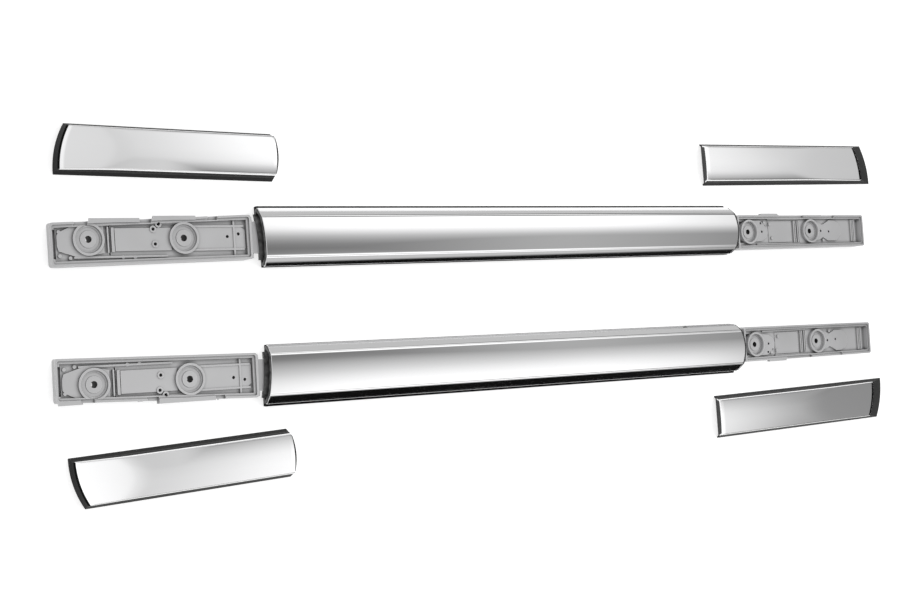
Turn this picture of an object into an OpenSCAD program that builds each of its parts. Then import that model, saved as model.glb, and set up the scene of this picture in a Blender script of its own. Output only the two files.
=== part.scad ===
// Pair of roof side rails, mirrored left and right: bright tubes on cast end
// brackets, with the four end caps lifted off and laid beside them.
// X runs along the rails, Z up from the roof skin, Y across the roof.

/* [Centre tube] */
// Length of the tube between its two end faces
tube_len = 937; // [600:1:1300]
// Overall width of the tube
tube_w = 82; // [70:0.5:100]
// Width of the broad top face
face_w = 58.6; // [50:0.1:62]
// Height of the tube from its underside to the edges of the top face
tube_h = 23; // [20:0.5:32]
// Rise of the top face at its middle
crown = 2; // [1:0.1:4]
// Height of the straight side wall below the top bevel
side_wall = 5.2; // [3:0.1:6]
// Drop of the bevel between the top face and the side wall
bevel_drop = 10.8; // [8:0.1:12]
// Run of the lower bevel
lower_bevel = 7; // [4:0.5:9]
// Wall thickness of the tube
tube_wall = 3; // [2:0.1:4]
// Clear height under the tube
tube_lift = 3; // [2.6:0.1:8]
// Bow of the hollow front end face
front_bow = 3; // [1:0.5:6]
// Skew of the front end face, in degrees
front_skew = 4; // [0:0.5:6]
// Backward lean of the front end face, in degrees
front_lean = 12; // [0:1:15]
// Radius of the rounded rear end face
rear_round = 78; // [60:1:120]

/* [Front bracket] */
// Length of the front bracket from the tube to its tip
front_len = 305; // [290:1:380]
// Width of the front bracket beside the tube
front_w = 62; // [58:0.5:68]
// Width of the front bracket at its tip
front_tip_w = 57; // [54:0.5:64]
// Inward set of the tip, toward the other rail
front_toe = 6.8; // [0:0.1:12]
// Distance of the outer bolt from the tube
front_bolt_out = 252; // [245:1:258]
// Distance of the inner bolt from the tube
front_bolt_in = 117; // [112:1:122]
// Distance of the raised rim of the front bracket from the tube
front_gap = 16; // [13:0.5:20]
// Depth of the front bolt seats below the top of their rings
front_seat_deep = 2.5; // [1.5:0.1:4]
// Length of the undercut below the tip
undercut = 12; // [6:0.5:16]

/* [Rear bracket] */
// Length of the rear bracket from the tube to its tip
rear_len = 348; // [340:1:400]
// Width of the rear bracket beside the tube
rear_w = 61; // [58:0.5:68]
// Width of the rear bracket at its tip
rear_tip_w = 58; // [54:0.5:64]
// Inward set of the rear bracket, toward the other rail
rear_set = 4; // [0:0.1:6]
// Inward set of the rear bolts
rear_bolt_set = 3.2; // [0:0.1:5]
// Distance of the outer bolt from the tube
rear_bolt_out = 204; // [200:1:210]
// Distance of the inner bolt from the tube
rear_bolt_in = 41; // [38:1:46]
// Depth of the rear bolt seats below the top of their rings
rear_seat_deep = 5; // [3:0.1:6]

/* [Castings] */
// Height of the bracket rim above its underside
rim_h = 22; // [20:0.5:26]
// Wall thickness of the castings
cast_wall = 3; // [2.5:0.1:4]
// Thickness of the deck of the castings
cast_floor = 3; // [2.5:0.1:4]
// Step down from the rim to the ledge inside it
ledge_drop = 2.4; // [1:0.1:3]
// Width of that ledge
ledge_w = 3.6; // [2:0.1:5]
// Height of the deck above the underside
deck_h = 14; // [12:0.5:15]
// Height of the raised webs above the underside
web_h = 17; // [16:0.5:18]
// Height of the pocket floors above the underside
pocket_h = 9; // [6:0.5:10]
// Thickness of the ribs
rib_t = 2.4; // [1.6:0.1:4]
// Diameter of the small drilled holes
pin_d = 4.6; // [3:0.1:6]
// Outward step of the tabs on the outboard rim
tab_out = 2.6; // [1:0.1:4]
// Length of the tongue inside the tube
tongue_len = 42; // [34:1:60]
// Width of the tongue
tongue_w = 44; // [40:0.5:54]
// Height of the tongue
tongue_h = 10; // [8:0.5:14]
// Gap all round a piece that slides into another
slip = 0.3; // [0.2:0.05:0.6]
// Thickness of the rubber pads
pad_t = 2; // [1:0.1:2.4]
// Step of the pads in from the edge of the castings
pad_step = 1.5; // [0.5:0.1:3]

/* [Bolt seats] */
// Diameter of the bolt holes
bolt_d = 9; // [8.4:0.1:11]
// Diameter of the counterbore
seat_d = 37; // [34:0.5:38]
// Wall of the ring round the counterbore
seat_wall = 3; // [2:0.1:4]
// Height of the ring above the underside
seat_h = 20; // [19:0.5:21]
// Diameter of the washer face that the bolt clamps
washer_d = 22; // [18:0.5:26]
// Depth of the groove round the washer face
washer_step = 1; // [0.5:0.1:1.5]

/* [Collars] */
// Thickness of the flange of the front collar on the tube end
collar_out = 2; // [1:0.1:4]
// Length of the collars inside the tube
collar_in = 12; // [8:0.5:20]
// Step of the front collar in from the tube surface
collar_step = 1; // [0.5:0.1:2]
// Width of the raised lip of the front collar inside the tube wall
collar_lip = 1.4; // [1:0.1:3]
// Depth of the dished face of the front collar behind the tube end
collar_dish = 3; // [1:0.5:6]
// Length of the hood of the front collar over the tongue
hood_len = 8; // [4:0.5:9]
// Width of the hood
hood_w = 64; // [56:1:64]
// Thickness of the rear gasket
gasket_t = 3; // [2:0.1:5]

/* [Fixing screws] */
// Shank diameter of the screws that hold the tongues
screw_d = 5; // [4:0.5:6]
// Head diameter of those screws
screw_head_d = 10; // [8:0.5:12]
// Head height of those screws
screw_head_h = 2; // [1.5:0.1:2.4]
// Length of the screws under the head
screw_len = 8; // [7:0.5:9]
// Distance between the two screws of a tongue, across the tube
screw_span = 30; // [20:1:36]
// Distance of the screws from the end face of the tube
screw_in = 28; // [24:1:32]

/* [End caps] */
// Length of the front caps
front_cap_len = 313; // [290:1:380]
// Width of the front caps
front_cap_w = 68; // [66:0.5:74]
// Length of the rear caps
rear_cap_len = 450; // [400:1:520]
// Width of the rear caps
rear_cap_w = 73; // [68:0.5:76]
// Height of the caps
cap_h = 27; // [26:0.5:32]
// Height of the front caps at their outer end
front_cap_low = 18; // [16:0.5:22]
// Length over which the front caps fall to that height
front_cap_fall = 90; // [60:1:140]
// Height of the rear caps at the start of their end slope
rear_cap_low = 19; // [17:0.5:24]
// Height of the dark skirt round the foot of a cap
skirt_h = 11; // [9:0.5:14]
// Lean of the skirt, from its foot to its top edge
skirt_lean = 3.6; // [2:0.1:5]
// Width of the bright face of a cap as a step in from its foot
cap_bevel = 6.8; // [5.8:0.1:9]
// Wall thickness of the bright shell and the skirt
cap_wall = 2.5; // [1.8:0.1:3]
// Radius of the outer ends of the caps in plan
end_round = 125; // [100:1:160]
// Distance of the foremost point of that round from the inboard edge
end_round_in = 5; // [2:0.5:12]
// Thickness of the dark end piece of the front caps, along the top
front_end_band = 2.8; // [2.6:0.1:12]
// Length of the end slope of the rear caps
rear_end_slope = 44; // [34:1:54]
// Overhang of the inner end of the rear caps at their top
rear_in_run = 12; // [4:0.5:16]
// Bow of the inner end of the front caps in plan
front_in_bow = 3.5; // [2:0.5:6]
// Distance that the foot of that end reaches further in than its top
front_in_run = 8; // [2:0.5:12]
// Distance that the bow of a front end plate stands out of the cap
front_plate_out = 3; // [1:0.5:5]
// Distance that the end plate of a rear cap is set back into it
rear_plate_in = 1.5; // [0.5:0.1:3]
// Thickness of the end plates at their edges
plate_t = 4; // [3:0.5:8]

/* [Layout of the pair] */
// Distance of each rail from the middle of the pair
rail_apart = 99.4; // [90:0.1:600]
// Outward turn of each rail toward the rear, in degrees
splay = 0.43; // [0:0.01:1]
// Distance the left rail lies further toward the front
left_set = 3; // [0:0.5:10]
// Distance of the right front cap outboard of its rail
right_front_apart = 110.9; // [95:0.1:160]
// Distance of the left front cap outboard of its rail
left_front_apart = 108.6; // [95:0.1:160]
// Distance of the right rear cap outboard of its rail
right_rear_apart = 120.6; // [100:0.1:160]
// Distance of the left rear cap outboard of its rail
left_rear_apart = 122.2; // [100:0.1:160]
// Turn of the front cap of the right rail, in degrees
right_front_turn = -0.7; // [-2:0.1:2]
// Turn of the rear cap of the right rail, in degrees
right_rear_turn = 1.3; // [-2:0.1:2]
// Turn of the front cap of the left rail, in degrees
left_front_turn = 2.3; // [-2:0.1:2]
// Turn of the rear cap of the left rail, in degrees
left_rear_turn = 0.6; // [-2:0.1:2]
// Distance from the tube end to the near end of the front caps
front_cap_start = -26; // [-60:1:20]
// Distance from the tube end to the near end of the right rear cap
right_rear_start = -47; // [-70:1:0]
// Distance from the tube end to the near end of the left rear cap
left_rear_start = -54; // [-70:1:0]

/* [Hidden] */

$fn = 72;
fine = 360;
over = 1;
half_len = tube_len / 2;
tube_top = tube_lift + tube_h;
crown_r = (pow(face_w / 2, 2) + pow(crown, 2)) / (2 * crown);
span_y = 4 * tube_w;
rim_z = pad_t + rim_h;
ledge_z = rim_z - ledge_drop;
deck_z = pad_t + deck_h;
web_z = pad_t + web_h;
pocket_z = pad_t + pocket_h;
seat_z = pad_t + seat_h;
ring_r = seat_d / 2 + seat_wall;
rear_gap = rear_round - rear_sag() + gasket_t + 2 * slip;
foot_gap = tube_h * tan(front_lean) + tube_w / 2 * tan(front_skew) + 2 * slip;
bolt_clear_d = bolt_d + 7;
screw_hole_d = screw_d + slip;
tongue_z0 = tube_lift + tube_wall + slip;
tongue_z1 = tongue_z0 + tongue_h;
cap_run = cap_bevel - skirt_lean;
cap_drop = cap_h - crown - skirt_h;
tube_rise = 1.5 * crown / bevel_drop;
cap_rise = 1.5 * crown / cap_drop;
plate_gap = cap_wall + slip;
slope_lean = atan(rear_end_slope / rear_cap_low);
right_tabs = [
    [front_bolt_out - 73, front_bolt_out - 1],
    [front_bolt_in - 17, front_bolt_in + 45]
];
left_tabs = [
    [front_bolt_out + 13, front_len - 3],
    [front_bolt_in - 45, front_bolt_in + 50]
];
front_reach = half_len + front_len + left_set;
rear_reach = half_len + max(
    right_rear_start + cap_reach_x(rear_cap_len, rear_cap_w, right_rear_turn, 1),
    left_rear_start + cap_reach_x(rear_cap_len, rear_cap_w, left_rear_turn, -1)
);
right_reach = rail_apart + max(
    cap_reach_y(right_front_apart, front_cap_len, front_cap_w, -right_front_turn),
    cap_reach_y(right_rear_apart, rear_cap_len, rear_cap_w, right_rear_turn)
);
left_reach = rail_apart + max(
    cap_reach_y(left_front_apart, front_cap_len, front_cap_w, left_front_turn),
    cap_reach_y(left_rear_apart, rear_cap_len, rear_cap_w, -left_rear_turn)
);
frame_shift = [(front_reach - rear_reach) / 2, (left_reach - right_reach) / 2, 0];

// Reach of a cap along the rails, from its inner end
function cap_reach_x(len, w, turn, side) =
    (len - end_round) * cos(turn) + side * (w / 2 - end_round_in) * sin(turn) + end_round;

// Reach of a cap away from its rail; turn counts outward
function cap_reach_y(apart, len, w, turn) =
    apart + w / 2 * cos(turn) + max(0, (len - end_drop(w)) * sin(turn));

// Distance by which the outboard edge of a cap is shorter than its inboard edge
function end_drop(w) = end_round - sqrt(pow(end_round, 2) - pow(w - end_round_in, 2));

// Unit normal of the edge a to b, pointing out of a counter-clockwise outline
function edge_out(a, b) = [b[1] - a[1], a[0] - b[0]] / norm(b - a);

// Point where the line p + s d meets the line q + t e
function line_hit(p, d, q, e) = p + d * cross(q - p, e) / cross(d, e);

// Convex outline moved in by g on every edge
function inset(pts, g) = [
    for (i = [0:len(pts) - 1])
        let (
            a = pts[(i + len(pts) - 1) % len(pts)],
            b = pts[i],
            c = pts[(i + 1) % len(pts)],
            m = edge_out(a, b),
            n = edge_out(b, c)
        )
        line_hit(b - g * m, b - a, b - g * n, c - b)
];

// Outline with its corners rounded to radius r in n steps
function rounded(pts, r, n = 5) = [
    for (i = [0:len(pts) - 1])
        let (
            a = pts[(i + len(pts) - 1) % len(pts)],
            b = pts[i],
            c = pts[(i + 1) % len(pts)],
            m = edge_out(a, b),
            k = edge_out(b, c),
            o = line_hit(b - r * m, b - a, b - r * k, c - b),
            a0 = atan2(m[1], m[0]),
            turn = atan2(cross(m, k), m * k)
        )
        for (j = [0:n])
            o + r * [cos(a0 + turn * j / n), sin(a0 + turn * j / n)]
];

// Section of the tube moved in by g; its bevels run on past the crowned face
function tube_points(g) = inset([
    [-tube_w / 2 + lower_bevel, tube_lift],
    [tube_w / 2 - lower_bevel, tube_lift],
    [tube_w / 2, tube_top - bevel_drop - side_wall],
    [tube_w / 2, tube_top - bevel_drop],
    [face_w / 2 - tube_rise * (tube_w - face_w) / 2, tube_top + tube_rise * bevel_drop],
    [-face_w / 2 + tube_rise * (tube_w - face_w) / 2, tube_top + tube_rise * bevel_drop],
    [-tube_w / 2, tube_top - bevel_drop],
    [-tube_w / 2, tube_top - bevel_drop - side_wall]
], g);

// Outline of a bracket in plan from start to length, moved in by g
function tray_points(start, length, w0, w1, c0, c1, g) = inset([
    [start, c0 - w0 / 2],
    [length, c1 - w1 / 2],
    [length, c1 + w1 / 2],
    [start, c0 + w0 / 2]
], g);

// Section of a cap of width w, moved in by g; its foot reaches down by foot
function cap_points(w, g, foot) = inset([
    [-w / 2 - skirt_lean * foot / skirt_h, -foot],
    [w / 2 + skirt_lean * foot / skirt_h, -foot],
    [w / 2 - skirt_lean, skirt_h],
    [w / 2 - cap_bevel - cap_rise * cap_run, cap_h - crown + cap_rise * cap_drop],
    [-w / 2 + cap_bevel + cap_rise * cap_run, cap_h - crown + cap_rise * cap_drop],
    [-w / 2 + skirt_lean, skirt_h]
], g);

// Radius of the crowned face of a cap of width w
function cap_crown_r(w) =
    (pow(w / 2 - cap_bevel, 2) + pow(crown, 2)) / (2 * crown);

// Start of the side outlines: the form inside a cap runs out of its inner end
function cap_mouth(g) = g > 0 ? -g - over : 0;

// Fall of a rear cap at distance x, from its middle toward its end slope
function rear_fall(x) =
    (cap_h - rear_cap_low) * (x - rear_cap_len / 2) / (rear_cap_len / 2 - rear_end_slope);

// Outline of a front cap seen along Y, moved in by g, past its outer end
function front_cap_side(g, foot) = inset([
    [cap_mouth(g) - 2 * front_in_run, -foot],
    [2 * front_cap_len, -foot],
    [2 * front_cap_len, front_cap_low - (cap_h - front_cap_low) * front_cap_len / front_cap_fall],
    [front_cap_len - front_cap_fall, cap_h],
    [cap_mouth(g) - 2 * front_in_run, cap_h + over]
], g);

// Outline of a rear cap seen along Y, moved in by g, past its outer end
function rear_cap_side(g, foot) = inset([
    [cap_mouth(g) + rear_in_run * foot / cap_h, -foot],
    [1.25 * rear_cap_len, -foot],
    [1.25 * rear_cap_len, cap_h - rear_fall(1.25 * rear_cap_len)],
    [rear_cap_len / 2, cap_h],
    [cap_mouth(g) - rear_in_run * (1 + over / cap_h), cap_h + over]
], g);

// Puts the pair's own origin under the middle of its box
module in_frame() {
    translate(frame_shift)
        children();
}

// Places a rail: side 1 is the right rail, side -1 its mirror image
module at_rail(side) {
    translate([side < 0 ? -left_set : 0, side * rail_apart, 0])
        rotate([0, 0, side * splay])
            mirror([0, side < 0 ? 1 : 0, 0])
                children();
}

// Places a piece that is drawn outward from the front end of the tube
module at_front(side) {
    at_rail(side)
        translate([-half_len, 0, 0])
            mirror([1, 0, 0])
                children();
}

// Places a piece that is drawn outward from the rear end of the tube
module at_rear(side) {
    at_rail(side)
        translate([half_len, 0, 0])
            children();
}

// Draws a section that lies in Y and Z along X
module along_x(length) {
    rotate([90, 0, 90])
        linear_extrude(length)
            children();
}

// Draws an outline that lies in X and Z along Y, centred on Y = 0
module along_y(width) {
    translate([0, width / 2, 0])
        rotate([90, 0, 0])
            linear_extrude(width)
                children();
}

// Section with a crowned top, moved in by g; top is the height of its apex
module crowned(points, top, r, g) {
    intersection() {
        polygon(points);
        translate([0, top - r])
            circle(r = r - g, $fn = fine);
    }
}

module tube_section(g) {
    crowned(tube_points(g), tube_top + crown, crown_r, g);
}

// Everything behind the hollow front end face, moved by g along the tube
module front_face_cut(g) {
    translate([-half_len + front_bow + g, 0, tube_top])
        rotate([0, -front_lean, front_skew])
            translate([-bow_r(), 0, -2 * tube_w])
                cylinder(r = bow_r(), h = 4 * tube_w, $fn = fine);
}

function bow_r() = (pow(tube_w / 2, 2) + pow(front_bow, 2)) / (2 * front_bow);

// Plan shape that ends in the rounded rear face, moved by g along the tube
module rear_face_plan(g) {
    union() {
        translate([half_len + g - rear_sag(), 0])
            circle(r = rear_round, $fn = fine);
        translate([-tube_len, -span_y / 2])
            square([tube_len + half_len + g - rear_sag(), span_y]);
    }
}

function rear_sag() = sqrt(pow(rear_round, 2) - pow(face_w / 2, 2));

// Section of the tube moved in by g, past both ends; ext makes it longer
module tube_blank(g, ext) {
    translate([-half_len - 3 * collar_out - ext, 0, 0])
        along_x(tube_len + 6 * collar_out + 2 * ext)
            tube_section(g);
}

module tube() {
    difference() {
        intersection() {
            difference() {
                tube_blank(0, 0);
                tube_blank(tube_wall, over);
            }
            translate([0, 0, -over])
                linear_extrude(2 * tube_w)
                    rear_face_plan(0);
        }
        front_face_cut(0);
        for (end = [-1, 1])
            screw_places(end)
                translate([0, 0, -over])
                    cylinder(d = screw_hole_d, h = tube_lift + tube_wall + 2 * over);
    }
}

// Puts its children at the two screws of the tongue at one end of the tube
module screw_places(end) {
    for (s = [-1, 1])
        translate([end * (half_len - screw_in), s * screw_span / 2, 0])
            children();
}

module screws(end) {
    screw_places(end) {
        translate([0, 0, tube_lift - screw_head_h])
            cylinder(d = screw_head_d, h = screw_head_h, $fn = 36);
        translate([0, 0, tube_lift - over / 2])
            cylinder(d = screw_d, h = screw_len, $fn = 36);
    }
}

// Section of the tube moved in by g, round its front end up to the collar's back
module collar_blank(g) {
    translate([-half_len - 3 * tube_h, 0, 0])
        along_x(3 * tube_h + collar_in)
            tube_section(g);
}

// Section of the hood, from above the foot of the bracket to above the tongue
function hood_points() =
    let (
        w = hood_w / 2,
        z0 = pocket_z + 2 * slip,
        z1 = tongue_z1 + slip + cast_wall
    )
    [[-w, z0], [w, z0], [w, z1 - 4], [w - 5, z1], [-w + 5, z1], [-w, z1 - 4]];

// Bar of that section round the front end of the tube, up to the collar's back
module hood_bar(ahead) {
    translate([-half_len - ahead, 0, 0])
        along_x(ahead + collar_in)
            polygon(hood_points());
}

// Collar in the front end of the tube: flange, dished face, hood over the tongue
// and the opening for the tongue
module front_collar() {
    difference() {
        union() {
            difference() {
                hood_bar(3 * tube_h);
                front_face_cut(-slip - hood_len);
            }
            intersection() {
                collar_blank(collar_step);
                difference() {
                    front_face_cut(-slip);
                    front_face_cut(-slip - collar_out);
                }
            }
            difference() {
                collar_blank(tube_wall + slip);
                front_face_cut(-slip - collar_out);
            }
        }
        difference() {
            intersection() {
                translate([-over, 0, 0])
                    collar_blank(tube_wall + slip + collar_lip);
                front_face_cut(collar_dish);
            }
            hood_bar(4 * tube_h);
        }
        tongue_hole();
    }
}

// Gasket on the rear end of the tube, with the opening for the tongue
module rear_gasket() {
    difference() {
        intersection() {
            translate([half_len - collar_in, 0, 0])
                along_x(2 * collar_in)
                    tube_section(collar_step);
            difference() {
                translate([0, 0, -over])
                    linear_extrude(2 * tube_w)
                        rear_face_plan(gasket_t + slip);
                translate([0, 0, -2 * over])
                    linear_extrude(3 * tube_w)
                        rear_face_plan(slip);
            }
        }
        tongue_hole();
    }
}

module tongue_hole() {
    translate([-tube_len, -tongue_w / 2 - slip, tongue_z0 - slip])
        cube([2 * tube_len, tongue_w + 2 * slip, tongue_z1 - tongue_z0 + 2 * slip]);
}

// Tongue of a bracket, drawn inward from the tube end and joined at start
module tongue(start) {
    difference() {
        translate([-tongue_len, -tongue_w / 2, tongue_z0])
            cube([tongue_len + start + cast_wall, tongue_w, tongue_h]);
        translate([-tongue_len - over, -tongue_w / 2 + cast_wall, tongue_z0 + cast_wall])
            cube([tongue_len, tongue_w - 2 * cast_wall, tongue_h - 2 * cast_wall]);
        for (s = [-1, 1])
            translate([-screw_in, s * screw_span / 2, tongue_z0 - over])
                cylinder(d = screw_hole_d, h = cast_wall + 2 * over);
    }
}

// Ring boss at a bolt, still solid
module seat_ring(u, v) {
    translate([u, v, pad_t])
        cylinder(r = ring_r, h = seat_h, $fn = 96);
}

// Counterbore of the given depth, groove round the washer face, and bolt hole
module seat_cut(u, v, deep) {
    translate([u, v, seat_z - deep])
        cylinder(d = seat_d, h = 2 * deep, $fn = 96);
    translate([u, v, seat_z - deep - washer_step])
        difference() {
            cylinder(d = seat_d - 2 * rib_t, h = deep, $fn = 96);
            translate([0, 0, -over])
                cylinder(d = washer_d, h = deep + 2 * over);
        }
    translate([u, v, pad_t - over])
        cylinder(d = bolt_d, h = seat_h + 2 * over);
}

// Raised piece of the deck, from the deck slab up to top
module web(points, top) {
    translate([0, 0, deck_z - cast_floor])
        linear_extrude(top - deck_z + cast_floor)
            polygon(points);
}

// Pocket from the floor at pocket_z upward
module pocket(points) {
    translate([0, 0, pocket_z])
        linear_extrude(rim_h)
            polygon(points);
}

// Corners of a rectangle from u0 to u1 and v0 to v1
function box_points(u0, u1, v0, v1) = [[u0, v0], [u1, v0], [u1, v1], [u0, v1]];

// Cross rib from v0 to v1 at distance u from the tube, on the deck
module cross_rib(u, v0, v1, top) {
    web(box_points(u - rib_t / 2, u + rib_t / 2, v0, v1), top);
}

// Rib along the bracket, on the deck
module long_rib(u0, u1, v, top) {
    web(box_points(u0, u1, v - rib_t / 2, v + rib_t / 2), top);
}

// Rib across the hollow underside, open at its middle above the pad
module under_rib(u, v0, v1) {
    translate([u - rib_t / 2, v0, pad_t])
        cube([rib_t, v1 - v0, deck_h - cast_floor / 2]);
}

// Small pin hole down through the deck
module pin_hole(u, v) {
    translate([u, v, pocket_z - 2 * over])
        cylinder(d = pin_d, h = rim_h, $fn = 24);
}

// Low round boss on the deck
module pip(u, v, top) {
    translate([u, v, deck_z - over])
        cylinder(d = pin_d, h = top - deck_z + over, $fn = 24);
}

// Tab on the outboard rim from u0 to u1; edge is the rim's outer face there
module rim_tab(u0, u1, edge) {
    translate([u0, edge - cast_wall, rim_z - ledge_drop])
        cube([u1 - u0, cast_wall + tab_out, ledge_drop]);
    translate([u0 + rib_t, edge - cast_wall, deck_z])
        cube([rib_t, cast_wall + tab_out, rim_z - deck_z - over]);
    translate([u1 - 2 * rib_t, edge - cast_wall, deck_z])
        cube([rib_t, cast_wall + tab_out, rim_z - deck_z - over]);
}

// Open tray of a bracket: rim, ledge and deck over a hollow underside
module tray(start, length, w0, w1, c0, c1, hollow) {
    difference() {
        translate([0, 0, pad_t])
            linear_extrude(rim_h)
                polygon(rounded(tray_points(start, length, w0, w1, c0, c1, 0), 4));
        translate([0, 0, ledge_z])
            linear_extrude(rim_h)
                polygon(rounded(tray_points(start, length, w0, w1, c0, c1, cast_wall), 3));
        translate([0, 0, deck_z])
            linear_extrude(rim_h)
                polygon(tray_points(start, length, w0, w1, c0, c1, cast_wall + ledge_w));
        translate([0, 0, pad_t - over])
            linear_extrude(deck_h - cast_floor + over)
                intersection() {
                    polygon(tray_points(start, length, w0, w1, c0, c1, cast_wall));
                    polygon(box_points(hollow[0], hollow[1], -tube_w, tube_w));
                }
    }
}

// Outer face of the outboard rim at distance u, for a rim that runs from w0 to w1
function rim_edge(u, start, length, w0, w1, c0, c1) =
    c0 + w0 / 2 + (c1 + w1 / 2 - c0 - w0 / 2) * (u - start) / (length - start);

function front_edge(u) = rim_edge(u, front_gap, front_len, front_w, front_tip_w, 0, -front_toe);

function rear_edge(u) = rim_edge(u, rear_gap, rear_len, rear_w, rear_tip_w, -rear_set, -rear_set);

// Front bracket; tabs lists the start and end of each tab on its outboard rim
module front_bracket(tabs) {
    tip = front_len - cast_wall;
    a = front_bolt_out;
    b = front_bolt_in;
    boat = [
        [a - ring_r, -18], [a + 6, -22.5], [a + 18, -22], [tip - 10, -15], [tip - 8, -8],
        [tip - 8, 5], [tip - 11, 9.5], [a + 20, 18], [a - ring_r, 18]
    ];
    difference() {
        union() {
            difference() {
                union() {
                    tray(front_gap, front_len, front_w, front_tip_w, 0, -front_toe, [26, tip - 14]);
                    translate([foot_gap, -front_w / 2 + 2, pad_t])
                        cube([2 * front_gap - foot_gap, front_w - 4, pocket_h]);
                    web(boat, web_z);
                }
                pocket(box_points(tip - 7, tip - 1.5, -25, 13));
                pocket([[a - 31, -21], [a - 29, -21], [a - 29, 18], [a - 31, 18]]);
            }
            web(box_points(a - 36, a - 32, -17, 15), web_z);
            web(box_points(b + ring_r - 3, a - 37, -16, 14), web_z);
            web([[a - 28, -18], [a - 26, -18], [a - 26, 16], [a - 28, 16]], web_z + 1);
            web([[24, -15.2], [b - 18, -16.5], [b - 18, 15.5], [30, 14.6], [24, 10]], web_z - 1);
            cross_rib(41, -24, 23, web_z);
            long_rib(26, b, 15.6, web_z);
            long_rib(26, b, -16.2, web_z);
            long_rib(b, a - 40, 20, web_z);
            long_rib(b + 24, tip - 30, -23.5, web_z);
            for (p = [[tip - 11, -21], [a + 25, -24], [a - 47, -24], [a - 64, -24.5], [tip - 11, 10]])
                pip(p[0], p[1], web_z);
            for (p = [[b + 36, 19], [b + 42, -7.5], [b + 44, 12.5]])
                translate([p[0], p[1], deck_z - over])
                    cylinder(d = 2 * pin_d, h = web_z - deck_z + 2 * over, $fn = 32);
            for (t = tabs)
                rim_tab(t[0], t[1], front_edge((t[0] + t[1]) / 2));
            seat_ring(a, 0);
            seat_ring(b, 0);
            under_rib((a + b) / 2, -front_w / 2 + 1, front_w / 2 - 5);
            under_rib(b - 50, -front_w / 2 + 1, front_w / 2 - 2);
            tongue(front_gap);
        }
        seat_cut(a, 0, front_seat_deep);
        seat_cut(b, 0, front_seat_deep);
        for (p = [[b + 36, 19], [b + 42, -7.5], [b + 44, 12.5], [51, 1.3], [34, 4.7]])
            pin_hole(p[0], p[1]);
        for (n = [[a + 1, a + 20], [b + 47, b + 64], [b - 50, b - 35]])
            translate([n[0], front_edge(n[0]) - 5.5, deck_z + 2.4])
                cube([n[1] - n[0], tube_w, rim_h]);
        translate([front_len - undercut, 0, pad_t - over])
            rotate([90, 0, 0])
                translate([0, 0, -tube_w])
                    linear_extrude(2 * tube_w)
                        polygon([
                            [-over, 0],
                            [undercut + over, 0],
                            [undercut + over, rim_h - 8]
                        ]);
    }
}

module rear_bracket() {
    tip = rear_len - cast_wall;
    a = rear_bolt_in;
    b = rear_bolt_out;
    v = -rear_bolt_set;
    nose = [
        [a, v - 19], [a + 34, v - 16], [a + 45, v - 10], [a + 50, v - 2],
        [a + 49, v + 6], [a + 42, v + 13], [a + 30, v + 19.5], [a, v + 20]
    ];
    wave = [
        [b, v - 19], [b + 24, v - 16], [b + 34, v - 12], [b + 42, v - 15], [b + 48, v - 18],
        [b + 70, v - 18], [b + 78, v - 12], [b + 84, v - 6], [b + 84, v + 6], [b + 78, v + 14],
        [b + 66, v + 19], [b + 52, v + 19], [b + 42, v + 14], [b + 34, v + 11], [b + 24, v + 15],
        [b, v + 19]
    ];
    difference() {
        union() {
            difference() {
                tray(rear_gap, rear_len, rear_w, rear_tip_w, -rear_set, -rear_set, [66, tip - 26]);
                pocket(box_points(rear_gap + cast_wall, a, v - 19, v + 19));
                pocket(box_points(tip - 15, tip - 2, -rear_set - 21, -rear_set + 21));
            }
            web(nose, web_z);
            web(wave, web_z);
            web(box_points(a + 53, b - 50, v - 19, v + 19), web_z - 2);
            for (i = [0:3])
                cross_rib(b - 44 + 5 * i, v - 20, v + 19, web_z - (i % 2));
            for (i = [0:2])
                cross_rib(tip - 26 + 4 * i, v - 20, v + 20, web_z);
            long_rib(a + 20, b - 30, v - 22.4, web_z);
            long_rib(a + 50, b - 30, v + 21.5, web_z);
            for (p = [[a + 40, v + 16], [a + 54, v + 13], [a + 59, v - 12], [b + 34, v - 17]])
                pip(p[0], p[1], web_z + 1);
            rim_tab(a + 29, a + 73, rear_edge(a + 50));
            seat_ring(a, v);
            seat_ring(b, v);
            under_rib(a + 70, -rear_set - rear_w / 2 + 1, -rear_set + rear_w / 2 - 1);
            under_rib(b + 50, -rear_set - rear_w / 2 + 1, -rear_set + rear_w / 2 - 2);
            tongue(rear_gap);
        }
        seat_cut(a, v, rear_seat_deep);
        seat_cut(b, v, rear_seat_deep);
        for (p = [[a + 34, v], [a + 32, v + 15], [a + 44, v + 11], [b + 29, v], [b + 51, v - 1.5]])
            pin_hole(p[0], p[1]);
        translate([a + 76, rear_edge(a) - 5.5, deck_z + 2.4])
            cube([b - 20 - a - 76, tube_w, rim_h]);
        translate([b + 28, rear_edge(b) - 5.5, deck_z + 3.4])
            cube([36, tube_w, rim_h]);
    }
}

// Rubber pad under a bracket, open round the bolts
module pad(start, length, w0, w1, c0, c1, bolts, v) {
    difference() {
        linear_extrude(pad_t)
            polygon(rounded(tray_points(start, length, w0, w1, c0, c1, pad_step), 4));
        for (u = bolts)
            translate([u, v, -over])
                cylinder(d = bolt_clear_d, h = pad_t + 2 * over);
    }
}

// Plan of everything inside the round end of a cap that ends at x, moved in by g
module end_plan(x, w, g) {
    union() {
        translate([x - end_round, end_round_in - w / 2])
            circle(r = end_round - g, $fn = fine);
        translate([-2 * rear_cap_len, -span_y / 2])
            square([2 * rear_cap_len + x - end_round, span_y]);
    }
}

// Form of a cap: section and side view moved in by g, its foot lowered by foot
module cap_form(w, side, g, foot) {
    intersection() {
        translate([-tube_w, 0, 0])
            along_x(2 * rear_cap_len)
                crowned(cap_points(w, g, foot), cap_h, cap_crown_r(w), g);
        along_y(span_y)
            polygon(side);
    }
}

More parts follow.
